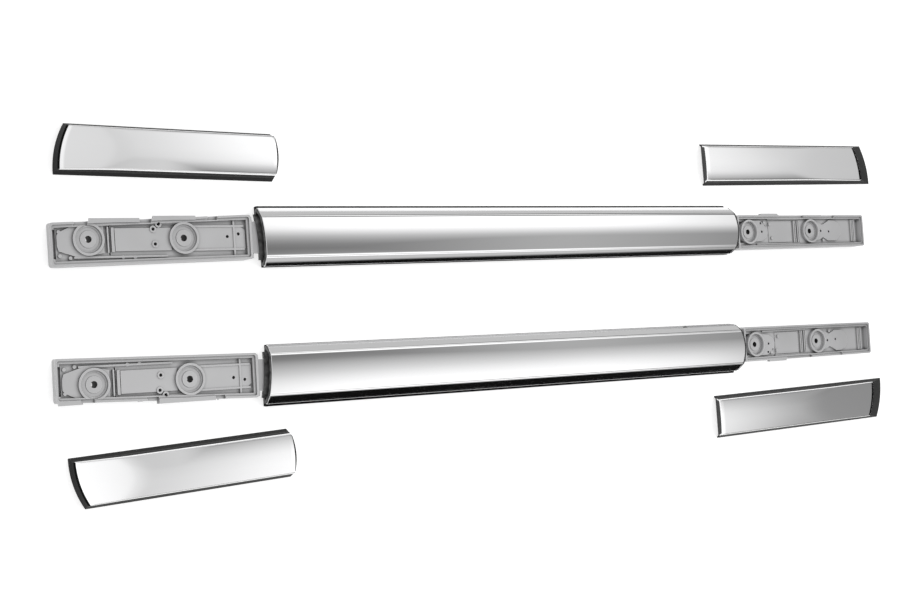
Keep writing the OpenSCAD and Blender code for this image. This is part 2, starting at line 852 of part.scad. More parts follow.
// Form of a front cap moved in by g, with its upright round end
module front_cap_form(g, foot) {
    intersection() {
        cap_form(front_cap_w, front_cap_side(g, foot), g, foot);
        translate([0, 0, -cap_h])
            linear_extrude(3 * cap_h)
                end_plan(front_cap_len, front_cap_w, g);
    }
}

// Form of a rear cap moved in by g, under its round end slope
module rear_cap_form(g, foot) {
    slope_r = end_round / cos(slope_lean);
    intersection() {
        cap_form(rear_cap_w, rear_cap_side(g, foot), g, foot);
        translate([rear_cap_len, end_round_in - rear_cap_w / 2, 0])
            rotate([0, -slope_lean, 0])
                translate([-slope_r, 0, -2 * rear_cap_len])
                    cylinder(r = slope_r - g, h = 4 * rear_cap_len, $fn = fine);
    }
}

// Room outside the bowed inner end of a front cap: bow in plan, leaning in to its foot
module front_inner_room(bow) {
    r = (pow(front_cap_w / 2, 2) + pow(bow, 2)) / (2 * bow);
    translate([-front_in_run - bow, 0, 0])
        rotate([0, atan(front_in_run / cap_h), 0])
            translate([0, 0, -2 * rear_cap_len])
                linear_extrude(4 * rear_cap_len)
                    union() {
                        translate([r, 0])
                            circle(r = r, $fn = fine);
                        translate([r, -span_y / 2])
                            square([2 * rear_cap_len, span_y]);
                    }
}

// Wall of a front cap, open at its foot
module front_cap_skin() {
    intersection() {
        difference() {
            front_cap_form(0, 0);
            front_cap_form(cap_wall, cap_wall + over);
        }
        front_inner_room(front_in_bow);
    }
}

// Wall of a rear cap, open at its foot
module rear_cap_skin() {
    difference() {
        rear_cap_form(0, 0);
        rear_cap_form(cap_wall, cap_wall + over);
    }
}

// Room of the bright shell: above the skirt and short of the dark end piece
module front_bright_room() {
    translate([0, 0, skirt_h])
        linear_extrude(2 * cap_h)
            end_plan(front_cap_len, front_cap_w, front_end_band);
}

module rear_bright_room() {
    translate([0, 0, skirt_h])
        linear_extrude(2 * cap_h)
            end_plan(rear_cap_len - rear_end_slope, rear_cap_w, cap_wall / 2);
}

module front_cap_shell() {
    intersection() {
        front_cap_skin();
        front_bright_room();
    }
}

module front_cap_skirt() {
    difference() {
        front_cap_skin();
        front_bright_room();
    }
}

module rear_cap_shell() {
    intersection() {
        rear_cap_skin();
        rear_bright_room();
    }
}

module rear_cap_skirt() {
    difference() {
        rear_cap_skin();
        rear_bright_room();
    }
}

// Plate that closes the inner end of a cap of width w between x0 and x1;
// run is the overhang of that end at the top of the cap
module end_plate(w, x0, x1, run) {
    intersection() {
        translate([-tube_w, 0, 0])
            along_x(3 * tube_w)
                crowned(cap_points(w, plate_gap, 0), cap_h, cap_crown_r(w), plate_gap);
        along_y(span_y)
            polygon([[x0, 0], [x1, 0], [x1 - run, cap_h], [x0 - run, cap_h]]);
    }
}

module front_cap_plate() {
    intersection() {
        end_plate(front_cap_w, -2 * front_in_run, plate_t - front_in_run, -front_in_run);
        front_inner_room(front_in_bow + front_plate_out);
    }
}

module rear_cap_plate() {
    end_plate(rear_cap_w, rear_plate_in, rear_plate_in + plate_t, rear_in_run);
}

// Places a cap beside the front end of a rail, drawn outward from its inner end
module at_front_cap(side, apart, turn) {
    translate([-half_len - front_cap_start, side * (rail_apart + apart), 0])
        rotate([0, 0, turn])
            mirror([1, 0, 0])
                mirror([0, side < 0 ? 1 : 0, 0])
                    children();
}

// Places a cap beside the rear end of a rail, drawn outward from its inner end
module at_rear_cap(side, start, apart, turn) {
    translate([half_len + start, side * (rail_apart + apart), 0])
        rotate([0, 0, turn])
            mirror([0, side < 0 ? 1 : 0, 0])
                children();
}

module at_right_front_cap() {
    at_front_cap(1, right_front_apart, right_front_turn)
        children();
}

module at_left_front_cap() {
    at_front_cap(-1, left_front_apart, left_front_turn)
        children();
}

module at_right_rear_cap() {
    at_rear_cap(1, right_rear_start, right_rear_apart, right_rear_turn)
        children();
}

module at_left_rear_cap() {
    at_rear_cap(-1, left_rear_start, left_rear_apart, left_rear_turn)
        children();
}

module right_tube() {
    color("gainsboro")
        in_frame()
            at_rail(1)
                tube();
}

module left_tube() {
    color("gainsboro")
        in_frame()
            at_rail(-1)
                tube();
}

module right_front_bracket() {
    color("darkgray")
        in_frame()
            at_front(1)
                front_bracket(right_tabs);
}

module left_front_bracket() {
    color("darkgray")
        in_frame()
            at_front(-1)
                front_bracket(left_tabs);
}

module right_rear_bracket() {
    color("darkgray")
        in_frame()
            at_rear(1)
                rear_bracket();
}

module left_rear_bracket() {
    color("darkgray")
        in_frame()
            at_rear(-1)
                rear_bracket();
}

module right_front_collar() {
    color("dimgray")
        in_frame()
            at_rail(1)
                front_collar();
}

module left_front_collar() {
    color("dimgray")
        in_frame()
            at_rail(-1)
                front_collar();
}

module right_rear_gasket() {
    color("black")
        in_frame()
            at_rail(1)
                rear_gasket();
}

module left_rear_gasket() {
    color("black")
        in_frame()
            at_rail(-1)
                rear_gasket();
}

module front_pad() {
    pad(front_gap, front_len - undercut, front_w, front_tip_w, 0, -front_toe,
        [front_bolt_in, front_bolt_out], 0);
}

module rear_pad() {
    pad(rear_gap, rear_len, rear_w, rear_tip_w, -rear_set, -rear_set,
        [rear_bolt_in, rear_bolt_out], -rear_bolt_set);
}

module right_front_pad() {
    color("black")
        in_frame()
            at_front(1)
                front_pad();
}

module left_front_pad() {
    color("black")
        in_frame()
            at_front(-1)
                front_pad();
}

module right_rear_pad() {
    color("black")
        in_frame()
            at_rear(1)
                rear_pad();
}

module left_rear_pad() {
    color("black")
        in_frame()
            at_rear(-1)
                rear_pad();
}

module right_front_cap_shell() {
    color("gainsboro")
        in_frame()
            at_right_front_cap()
                front_cap_shell();
}

module left_front_cap_shell() {
    color("gainsboro")
        in_frame()
            at_left_front_cap()
                front_cap_shell();
}

module right_rear_cap_shell() {
    color("gainsboro")
        in_frame()
            at_right_rear_cap()
                rear_cap_shell();
}

module left_rear_cap_shell() {
    color("gainsboro")
        in_frame()
            at_left_rear_cap()
                rear_cap_shell();
}

module right_front_cap_skirt() {
    color("black")
        in_frame()
            at_right_front_cap()
                front_cap_skirt();
}

module left_front_cap_skirt() {
    color("black")
        in_frame()
            at_left_front_cap()
                front_cap_skirt();
}

module right_rear_cap_skirt() {
    color("black")
        in_frame()
            at_right_rear_cap()
                rear_cap_skirt();
}

module left_rear_cap_skirt() {
    color("black")
        in_frame()
            at_left_rear_cap()
                rear_cap_skirt();
}

module right_front_cap_seal() {
    color("dimgray")
        in_frame()
            at_right_front_cap()
                front_cap_plate();
}

module left_front_cap_seal() {
    color("dimgray")
        in_frame()
            at_left_front_cap()
                front_cap_plate();
}

module right_rear_cap_seal() {
    color("dimgray")
        in_frame()
            at_right_rear_cap()
                rear_cap_plate();
}

module left_rear_cap_seal() {
    color("dimgray")
        in_frame()
            at_left_rear_cap()
                rear_cap_plate();
}

module tongue_screws() {
    color("silver")
        in_frame()
            for (side = [-1, 1])
                for (end = [-1, 1])
                    at_rail(side)
                        screws(end);
}

right_tube();
left_tube();
right_front_bracket();
left_front_bracket();
right_rear_bracket();
left_rear_bracket();
right_front_collar();
left_front_collar();
right_rear_gasket();
left_rear_gasket();
right_front_pad();
left_front_pad();
right_rear_pad();
left_rear_pad();
right_front_cap_shell();
left_front_cap_shell();
right_rear_cap_shell();
left_rear_cap_shell();
right_front_cap_skirt();
left_front_cap_skirt();
right_rear_cap_skirt();
left_rear_cap_skirt();
right_front_cap_seal();
left_front_cap_seal();
right_rear_cap_seal();
left_rear_cap_seal();
tongue_screws();
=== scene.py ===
import math

import bpy
from mathutils import Matrix, Vector


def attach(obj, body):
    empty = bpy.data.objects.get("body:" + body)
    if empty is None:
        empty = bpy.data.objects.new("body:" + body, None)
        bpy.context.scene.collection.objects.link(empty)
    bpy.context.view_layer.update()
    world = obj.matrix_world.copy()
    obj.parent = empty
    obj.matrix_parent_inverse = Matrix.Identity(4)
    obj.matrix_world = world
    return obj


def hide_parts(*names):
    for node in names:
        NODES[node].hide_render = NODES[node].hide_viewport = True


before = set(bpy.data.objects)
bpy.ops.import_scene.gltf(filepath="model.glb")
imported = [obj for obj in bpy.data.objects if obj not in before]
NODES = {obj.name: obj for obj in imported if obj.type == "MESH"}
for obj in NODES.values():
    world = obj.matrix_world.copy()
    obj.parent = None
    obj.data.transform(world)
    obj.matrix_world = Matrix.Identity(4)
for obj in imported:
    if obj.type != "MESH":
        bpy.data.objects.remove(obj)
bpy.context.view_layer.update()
MM = 0.001
SIDES = {"right": 1, "left": -1}

# Sizes of the tubes and of the trims under them, in mm and degrees
TUBE_LEN, TUBE_W, TUBE_H, TUBE_WALL, LIFT = 937.0, 82.0, 23.0, 3.0, 3.0
HALF, TOP = TUBE_LEN / 2, LIFT + TUBE_H
FACE_W, CROWN, CROWN_INSET = 58.6, 2.0, 1.7
SIDE_WALL, LOWER_BEVEL = 5.2, 7.0
BEVEL_DROP, BEVEL_BULGE, BEVEL_NORMAL = 10.5, 0.14, (0.678, 0.735)
FACE_EDGE_R, SIDE_EDGE_R, FOOT_EDGE_R, FLAT_STEP = 4.0, 0.8, 2.0, 0.25
FRONT_BOW, FRONT_SKEW, FRONT_LEAN = 3.0, 4.0, 12.0
REAR_ROUND, END_LIP = 78.0, 1.0
NEAR_END, BELOW_LIP, INNER_STEP = 1.6, 4.0, 30.0
TRIM_OUTBOARD, TRIM_INBOARD, TRIM_INSIDE, TRIM_BACK = 3.4, 0.8, 9.0, 0.8

# Sizes of the caps, in mm
CAP_H, CAP_WALL, CAP_BEVEL, SKIRT_H, SKIRT_LEAN = 27.0, 2.5, 6.8, 11.0, 3.6
END_ROUND, END_IN, FRONT_BAND = 125.0, 5.0, 2.8
FRONT_IN_BOW, FRONT_IN_RUN, FRONT_LOW, FRONT_FALL = 3.5, 8.0, 18.0, 90.0
REAR_SLOPE, REAR_RUN, REAR_LOW = 44.0, 12.0, 19.0
FACE_OVER, FALL_BLEND, CAP_EDGE = 2.0, 1.6, 1.2

# Layout, in mm and degrees
FRONT_LEN, RAIL_APART, SPLAY, LEFT_SET = 305.0, 99.4, 0.43, 3.0
CAPS = {
    ("right", "front"): dict(length=313.0, w=68.0, apart=110.9, start=-26.0, turn=-0.7),
    ("left", "front"): dict(length=313.0, w=68.0, apart=108.6, start=-26.0, turn=2.3),
    ("right", "rear"): dict(length=450.0, w=73.0, apart=120.6, start=-47.0, turn=1.3),
    ("left", "rear"): dict(length=450.0, w=73.0, apart=122.2, start=-54.0, turn=0.6),
}
BOLT_R, BORE_EDGE, REAR_BOLT_Y = 4.5, 0.15, -3.2
BOLTS = [(-HALF - 252.0, 0.0), (-HALF - 117.0, 0.0), (HALF + 204.0, REAR_BOLT_Y), (HALF + 41.0, REAR_BOLT_Y)]


def reach_x(cap, side):
    t = math.radians(cap["turn"])
    aside = side * (cap["w"] / 2 - END_IN) * math.sin(t)
    return (cap["length"] - END_ROUND) * math.cos(t) + aside + END_ROUND


def reach_y(cap, turn):
    t = math.radians(turn)
    drop = END_ROUND - math.sqrt(END_ROUND ** 2 - (cap["w"] - END_IN) ** 2)
    return cap["apart"] + cap["w"] / 2 * math.cos(t) + max(0.0, (cap["length"] - drop) * math.sin(t))


def side_reach(hand):
    side = SIDES[hand]
    front, rear = CAPS[hand, "front"], CAPS[hand, "rear"]
    return max(reach_y(front, -side * front["turn"]), reach_y(rear, side * rear["turn"]))


def rear_reach(hand):
    cap = CAPS[hand, "rear"]
    return HALF + cap["start"] + reach_x(cap, SIDES[hand])


SHIFT_X = (HALF + FRONT_LEN + LEFT_SET - max(rear_reach(hand) for hand in SIDES)) / 2
SHIFT_Y = (side_reach("left") - side_reach("right")) / 2
SHIFT = Vector((SHIFT_X, SHIFT_Y, 0))


def rail_matrix(side):
    """From a rail's own frame: +X toward its rear end, +Y outboard."""
    flip = Matrix.Diagonal((1, side, 1, 1))
    turn = Matrix.Rotation(math.radians(side * SPLAY), 4, "Z")
    at = Vector((-LEFT_SET if side < 0 else 0, side * RAIL_APART, 0))
    return Matrix.Translation(SHIFT + at) @ turn @ flip


def cap_matrix(hand, end):
    """From a cap's own frame: +X outward from its inner end, +Y outboard."""
    side, cap = SIDES[hand], CAPS[hand, end]
    way = -1 if end == "front" else 1
    turn = Matrix.Rotation(math.radians(cap["turn"]), 4, "Z")
    at = Vector((way * (HALF + cap["start"]), side * (RAIL_APART + cap["apart"]), 0))
    return Matrix.Translation(SHIFT + at) @ turn @ Matrix.Diagonal((way, side, 1, 1))


# Mesh helpers
def add_mesh(name, verts, faces, matrix, material, smooth=True):
    """Mesh from points in mm, placed by matrix. A mirroring matrix also turns the faces over."""
    placed = [(matrix @ Vector(v)) * MM for v in verts]
    if matrix.determinant() < 0:
        faces = [tuple(reversed(f)) for f in faces]
    data = bpy.data.meshes.new(name)
    data.from_pydata(placed, [], faces)
    data.materials.append(material)
    for p in data.polygons:
        p.use_smooth = smooth
    data.update()
    obj = bpy.data.objects.new(name, data)
    bpy.context.scene.collection.objects.link(obj)
    return obj


def rounded_outline(corners):
    """Closed counter-clockwise outline of (y, z) with each corner (y, z, r) turned into an arc,
    each arc with a near point on both sides that keeps the flats flat."""
    steps = 6
    out = []
    n = len(corners)
    for i in range(n):
        a, b, c = (Vector(corners[k % n][:2]) for k in (i - 1, i, i + 1))
        r = corners[i][2]
        u, v = (a - b).normalized(), (c - b).normalized()
        half = math.acos(max(-1.0, min(1.0, u.dot(v)))) / 2
        cut = r / math.tan(half)
        p, q = b + u * cut, b + v * cut
        centre = b + (u + v).normalized() * (r / math.sin(half))
        a0 = math.atan2(*(p - centre).yx)
        a1 = math.atan2(*(q - centre).yx)
        turn = (a1 - a0 + math.pi) % (2 * math.pi) - math.pi
        out.append(tuple(p + u * FLAT_STEP))
        for k in range(steps + 1):
            t = a0 + turn * k / steps
            out.append((centre.x + r * math.cos(t), centre.y + r * math.sin(t)))
        out.append(tuple(q + v * FLAT_STEP))
    return out


def normals2d(points):
    """Outward unit normals of a closed counter-clockwise outline."""
    out = []
    n = len(points)
    for i in range(n):
        a, c = Vector(points[i - 1]), Vector(points[(i + 1) % n])
        d = (c - a).normalized()
        out.append((d.y, -d.x))
    return out


def crown_z(y, half_w, top):
    """Height at y of a face that is crowned by CROWN."""
    r = (half_w ** 2 + CROWN ** 2) / (2 * CROWN)
    return top - r + math.sqrt(r * r - y * y)


def grid_faces(rings, n):
    """Faces between rings of n points, each ring closed."""
    faces = []
    for i in range(rings - 1):
        for j in range(n):
            k = (j + 1) % n
            faces.append((i * n + j, i * n + k, (i + 1) * n + k, (i + 1) * n + j))
    return faces


# Node helpers: each returns the output of the node that it adds
def feed(links, socket, value):
    """Links another node's output to the socket, or sets the socket to a number or colour."""
    if isinstance(value, bpy.types.NodeSocket):
        links.new(value, socket)
    else:
        socket.default_value = value


def math_node(nodes, links, kind, a, b):
    node = nodes.new("ShaderNodeMath")
    node.operation = kind
    feed(links, node.inputs[0], a)
    feed(links, node.inputs[1], b)
    return node.outputs["Value"]


def vector_node(nodes, links, kind, a, b, output):
    node = nodes.new("ShaderNodeVectorMath")
    node.operation = kind
    feed(links, node.inputs[0], a)
    feed(links, node.inputs[1], b)
    return node.outputs[output]


def mix_node(nodes, links, factor, a, b, blend="MIX"):
    node = nodes.new("ShaderNodeMix")
    node.data_type = "RGBA"
    node.blend_type = blend
    for name, value in (("Factor", factor), ("A", a), ("B", b)):
        feed(links, node.inputs[name], value)
    return node.outputs["Result"]


def range_node(nodes, links, source, start, end, low=0.0, high=1.0, kind="LINEAR"):
    """Goes from low to high while source goes from start to end."""
    node = nodes.new("ShaderNodeMapRange")
    node.interpolation_type = kind
    links.new(source, node.inputs["Value"])
    for name, value in (("From Min", start), ("From Max", end), ("To Min", low), ("To Max", high)):
        node.inputs[name].default_value = value
    return node.outputs["Result"]


def ramp_node(nodes, links, source, stops, kind="LINEAR"):
    """Colour ramp whose stops are (position, grey) or (position, (r, g, b))."""
    ramp = nodes.new("ShaderNodeValToRGB")
    ramp.color_ramp.interpolation = kind
    while len(ramp.color_ramp.elements) < len(stops):
        ramp.color_ramp.elements.new(0.5)
    for e, (pos, value) in zip(ramp.color_ramp.elements, stops):
        e.position = pos
        e.color = (value, value, value, 1) if isinstance(value, float) else (*value, 1)
    links.new(source, ramp.inputs["Fac"])
    return ramp.outputs["Color"]


def noise_node(nodes, links, scale, detail=4.0, stretch=(1, 1, 1)):
    tex = nodes.new("ShaderNodeTexNoise")
    tex.inputs["Scale"].default_value = scale
    tex.inputs["Detail"].default_value = detail
    coord = nodes.new("ShaderNodeTexCoord")
    mapping = nodes.new("ShaderNodeMapping")
    mapping.inputs["Scale"].default_value = stretch
    links.new(coord.outputs["Object"], mapping.inputs["Vector"])
    links.new(mapping.outputs["Vector"], tex.inputs["Vector"])
    return tex.outputs["Fac"]


def bump_node(nodes, links, height, strength, distance):
    bump = nodes.new("ShaderNodeBump")
    bump.inputs["Strength"].default_value = strength
    bump.inputs["Distance"].default_value = distance
    links.new(height, bump.inputs["Height"])
    return bump.outputs["Normal"]


# Materials
BRIGHT, BRIGHT_DULL = (0.90, 0.90, 0.905), 0.975
CAST_LOW, CAST_HIGH = (0.50, 0.50, 0.505, 1), (0.62, 0.62, 0.625, 1)
# Paler tone painted on the casting's edges as a highlight; near-black painted in its bolt holes as shade
EDGE_HIGHLIGHT, BORE_SHADE = (0.82, 0.82, 0.825, 1), (0.03, 0.03, 0.03, 1)
# Reach of the painted edge highlight and of the painted crevice shade, in mm
EDGE_REACH, SHADE_REACH = 1.0, 6.0


def new_material(name):
    m = bpy.data.materials.new(name)
    m.use_nodes = True
    return m, m.node_tree.nodes, m.node_tree.links, m.node_tree.nodes["Principled BSDF"]


def bright_metal(name, rough):
    """Polished metal with long faint changes of tone and gloss."""
    m, nodes, links, shader = new_material(name)
    shader.inputs["Metallic"].default_value = 1.0
    cloud = noise_node(nodes, links, 9.0, 3.0, (0.3, 1, 1))
    dull = tuple(BRIGHT_DULL * c for c in BRIGHT)
    links.new(ramp_node(nodes, links, cloud, [(0.35, dull), (0.65, BRIGHT)]), shader.inputs["Base Color"])
    fine = noise_node(nodes, links, 60.0, 5.0, (0.15, 1, 1))
    gloss = ramp_node(nodes, links, fine, [(0.3, rough * 0.8), (0.7, rough * 1.25)])
    links.new(gloss, shader.inputs["Roughness"])
    return m


def bore_shade_mask(nodes, links):
    """1 inside the bolt holes of the castings, 0 outside; it places the painted shade in them."""
    coord = nodes.new("ShaderNodeTexCoord")
    flat = vector_node(nodes, links, "MULTIPLY", coord.outputs["Object"], (1, 1, 0), "Vector")
    # Distance to the nearest bolt's axis, from a start of 1 m
    nearest = 1.0
    for side in SIDES.values():
        for x, y in BOLTS:
            place = rail_matrix(side) @ Vector((x, y, 0)) * MM
            away = vector_node(nodes, links, "DISTANCE", flat, (place.x, place.y, 0), "Value")
            nearest = math_node(nodes, links, "MINIMUM", nearest, away)
    return math_node(nodes, links, "LESS_THAN", nearest, (BOLT_R + BORE_EDGE) * MM)


def shaded_tone(nodes, links, color):
    """A casting's colour, paler on its edges as a painted highlight and darker in its corners and crevices
    as painted shade.
    """
    # Painted highlight: a paler tone on the edges, where the bevelled normal turns away from the true one
    rounded = nodes.new("ShaderNodeBevel")
    rounded.samples = 4
    rounded.inputs["Radius"].default_value = EDGE_REACH * MM
    surface = nodes.new("ShaderNodeNewGeometry")
    normals = rounded.outputs["Normal"], surface.outputs["Normal"]
    agree = vector_node(nodes, links, "DOT_PRODUCT", *normals, "Value")
    edge = ramp_node(nodes, links, agree, [(0.80, 1.0), (0.985, 0.0)])
    highlighted = mix_node(nodes, links, edge, color, EDGE_HIGHLIGHT)
    # Painted shade: ambient occlusion darkens the tone in corners and crevices
    ao_shade = nodes.new("ShaderNodeAmbientOcclusion")
    ao_shade.samples = 8
    ao_shade.only_local = True
    ao_shade.inputs["Distance"].default_value = SHADE_REACH * MM
    depth = ramp_node(nodes, links, ao_shade.outputs["AO"], [(0.35, 0.38), (0.95, 1.0)])
    return mix_node(nodes, links, 1.0, highlighted, depth, "MULTIPLY")


def cast_metal(name):
    """Die-cast alloy: cloudy grey with a fine grain, with painted edge highlights and crevice shade, and
    darkened by near-black painted shade in its bolt holes.
    """
    m, nodes, links, shader = new_material(name)
    shader.inputs["Metallic"].default_value = 0.55
    cloud = noise_node(nodes, links, 14.0)
    grain = noise_node(nodes, links, 900.0, 3.0)
    tone = shaded_tone(nodes, links, mix_node(nodes, links, cloud, CAST_LOW, CAST_HIGH))
    # Near-black painted shade in the bolt holes
    tone = mix_node(nodes, links, bore_shade_mask(nodes, links), tone, BORE_SHADE)
    links.new(tone, shader.inputs["Base Color"])
    links.new(ramp_node(nodes, links, cloud, [(0.3, 0.50), (0.7, 0.62)]), shader.inputs["Roughness"])
    links.new(bump_node(nodes, links, grain, 0.25, 0.0003), shader.inputs["Normal"])
    return m


def dark_plastic(name, value, rough, grain=700.0, depth=0.0002, specular=0.5, patches=30.0, spread=0.15):
    """Dark plastic or rubber with a fine grain. Its tone varies by spread around value, in patches."""
    m, nodes, links, shader = new_material(name)
    shader.inputs["Specular IOR Level"].default_value = specular
    cloud = noise_node(nodes, links, patches, 3.0)
    tones = [(0.3, value * (1 - spread)), (0.7, value * (1 + spread))]
    links.new(ramp_node(nodes, links, cloud, tones), shader.inputs["Base Color"])
    fine = noise_node(nodes, links, grain, 2.0)
    gloss = [(0.3, rough * 0.9), (0.7, rough * 1.1)]
    links.new(ramp_node(nodes, links, fine, gloss), shader.inputs["Roughness"])
    links.new(bump_node(nodes, links, fine, 0.2, depth), shader.inputs["Normal"])
    return m


def plated_steel(name):
    m, nodes, links, shader = new_material(name)
    shader.inputs["Metallic"].default_value = 1.0
    shader.inputs["Roughness"].default_value = 0.3
    tone = noise_node(nodes, links, 80.0)
    links.new(ramp_node(nodes, links, tone, [(0.3, 0.55), (0.7, 0.66)]), shader.inputs["Base Color"])
    return m


CHROME = bright_metal("bright_tube", 0.05)
CAP_CHROME = bright_metal("cap_bright", 0.06)
CAST = cast_metal("casting")
COLLAR = dark_plastic("collar_plastic", 0.06, 0.5, patches=110.0, spread=0.85)
RUBBER = dark_plastic("pad_rubber", 0.02, 0.75, grain=500.0, depth=0.0004)
DARK = dark_plastic("cap_dark", 0.003, 0.5, specular=0.06)
SEAL = dark_plastic("seal_rubber", 0.02, 0.65)
STEEL = plated_steel("screw_steel")


def dress(node, material, bevel=None):
    """Gives a CAD node its material and, where asked, small bevels on its edges."""
    obj = NODES[node]
    obj.data.materials.clear()
    obj.data.materials.append(material)
    if bevel:
        mod = obj.modifiers.new("edges", "BEVEL")
        mod.width = bevel * MM
        mod.segments = 2
        mod.limit_method = "ANGLE"
        mod.angle_limit = math.radians(40)
        mod.harden_normals = False
    return obj


# Tubes
def front_x(y, z):
    """X of the hollow front end face of the tube at (y, z)."""
    r = ((TUBE_W / 2) ** 2 + FRONT_BOW ** 2) / (2 * FRONT_BOW)
    skew = Matrix.Rotation(math.radians(FRONT_SKEW), 3, "Z")
    rot = skew @ Matrix.Rotation(math.radians(-FRONT_LEAN), 3, "Y")
    pivot = Vector((-HALF + FRONT_BOW, 0, TOP))
    centre = pivot + rot @ Vector((-r, 0, 0))
    axis = rot @ Vector((0, 0, 1))
    base = Vector((0, y, z)) - centre
    d = Vector((1, 0, 0))
    dp = d - axis * d.dot(axis)
    bp = base - axis * base.dot(axis)
    a, b, c = dp.dot(dp), 2 * dp.dot(bp), bp.dot(bp) - r * r
    return (-b + math.sqrt(b * b - 4 * a * c)) / (2 * a)


def rear_x(y):
    """X of the rounded rear end face of the tube at y."""
    sag = math.sqrt(REAR_ROUND ** 2 - (FACE_W / 2) ** 2)
    return HALF - sag + math.sqrt(REAR_ROUND ** 2 - y * y)


def tube_outline():
    """Section of the tube: crowned on top, with slightly bowed bevels and small rounds on its edges."""
    w, f = TUBE_W / 2, FACE_W / 2
    mid = TOP - BEVEL_DROP
    face_steps, bevel_steps, long_face, long_bevel = 30, 8, 20.0, 5.0
    points = rounded_outline([
        (-w + LOWER_BEVEL, LIFT, FOOT_EDGE_R), (w - LOWER_BEVEL, LIFT, FOOT_EDGE_R),
        (w, mid - SIDE_WALL, FOOT_EDGE_R), (w, mid, SIDE_EDGE_R),
        (f, TOP, FACE_EDGE_R), (-f, TOP, FACE_EDGE_R),
        (-w, mid, SIDE_EDGE_R), (-w, mid - SIDE_WALL, FOOT_EDGE_R),
    ])
    out = []
    for k, (y, z) in enumerate(points):
        out.append((y, z))
        next_y, next_z = points[(k + 1) % len(points)]
        dy, dz = next_y - y, next_z - z
        on_top = min(z, next_z) > TOP - 0.01
        on_bevel = min(abs(y), abs(next_y)) > f and min(z, next_z) > mid and max(z, next_z) < TOP
        if on_top and dy < -long_face:
            out += [(y + dy * i / face_steps, TOP) for i in range(1, face_steps)]
        elif on_bevel and abs(dy) > long_bevel:
            for i in range(1, bevel_steps):
                t = i / bevel_steps
                bulge = 4 * BEVEL_BULGE * t * (1 - t)
                bow_y = math.copysign(bulge * BEVEL_NORMAL[0], y)
                out.append((y + dy * t + bow_y, z + dz * t + bulge * BEVEL_NORMAL[1]))
    crowned = []
    for y, z in out:
        if abs(y) < f - CROWN_INSET and z > TOP - 1:
            z = crown_z(y, f, TOP + CROWN)
        crowned.append((y, z))
    return crowned


def tube_mesh(name, side, material):
    """Hollow tube. Its rings of points run along the outside to the rear and back along the inside."""
    outline = tube_outline()
    normal = normals2d(outline)
    n = len(outline)
    rings = []
    stations, lip_steps = 40, 4

    def ring(place, grow, back=0.0):
        """Adds the outline, grown by grow, at a share of the length or back from the front or rear end."""
        points = []
        for (y, z), (ny, nz) in zip(outline, normal):
            yy, zz = y + ny * grow, z + nz * grow
            x0, x1 = front_x(yy, zz), rear_x(yy)
            if place == "front":
                x = x0 + back
            elif place == "rear":
                x = x1 - back
            else:
                x = x0 + (x1 - x0) * place
            points.append((x, yy, zz))
        rings.append(points)

    for k in range(lip_steps + 1):
        a = math.pi / 2 * k / lip_steps
        ring("front", -END_LIP * (1 - math.sin(a)), END_LIP * (1 - math.cos(a)))
    ring("front", 0, NEAR_END)
    ring("front", 0, BELOW_LIP)
    for k in range(1, stations):
        ring(k / stations, 0)
    ring("rear", 0, BELOW_LIP)
    ring("rear", 0, NEAR_END)
    for k in range(lip_steps + 1):
        a = math.pi / 2 * k / lip_steps
        ring("rear", -END_LIP * (1 - math.cos(a)), END_LIP * (1 - math.sin(a)))
    for place, back in (("rear", 0), ("rear", INNER_STEP), ("front", INNER_STEP), ("front", 0)):
        ring(place, -TUBE_WALL, back)
    verts = [p for r in rings for p in r]
    faces = grid_faces(len(rings), n)
    last = (len(rings) - 1) * n
    for j in range(n):
        k = (j + 1) % n
        faces.append((last + j, last + k, k, j))
    return add_mesh(name, verts, faces, rail_matrix(side), material)


def trim_mesh(name, side, material):
    """Dark lips along both lower edges of the tube, almost down to the floor."""
    w, stations, mid_z = TUBE_W / 2, 24, 5.0
    verts, faces = [], []
    for flip, out in ((1, TRIM_OUTBOARD), (-1, TRIM_INBOARD)):
        section = [
            (w - TRIM_INSIDE, 0.3), (w + out - 0.7, 0.3), (w + out - 0.2, 0.9), (w + out, 7.6),
            (w + out - 0.2, 8.2), (w + out - 0.6, 8.4), (w + 0.1, 9.2), (w - LOWER_BEVEL + 0.1, 2.8),
            (w - TRIM_INSIDE, 2.8)]
        n = len(section)
        at = len(verts)
        start, stop = front_x(flip * w, mid_z) + TRIM_BACK, rear_x(w) - TRIM_BACK
        for k in range(stations + 1):
            verts += [(start + (stop - start) * k / stations, flip * y, z) for y, z in section]
        first_end = tuple(reversed(range(n)))
        last_end = tuple(stations * n + j for j in range(n))
        for f in [tuple(reversed(q)) for q in grid_faces(stations + 1, n)] + [first_end, last_end]:
            f = f if flip > 0 else tuple(reversed(f))
            faces.append(tuple(at + i for i in f))
    return add_mesh(name, verts, faces, rail_matrix(side), material, smooth=False)


# Cap shells
def cap_top(end, cap, x, y):
    """Height of the bright face at (x, y) in the cap's own frame."""
    length = cap["length"]
    edge = cap["w"] / 2 - CAP_BEVEL
    z = crown_z(min(abs(y), edge + FACE_OVER), edge, CAP_H)
    if end == "front":
        fall = CAP_H - (CAP_H - FRONT_LOW) * (x - length + FRONT_FALL) / FRONT_FALL
    else:
        fall = CAP_H - (CAP_H - REAR_LOW) * (x - length / 2) / (length / 2 - REAR_SLOPE)
    near = max(0.0, FALL_BLEND - abs(z - fall))
    return min(z, fall) - near * near / (4 * FALL_BLEND)


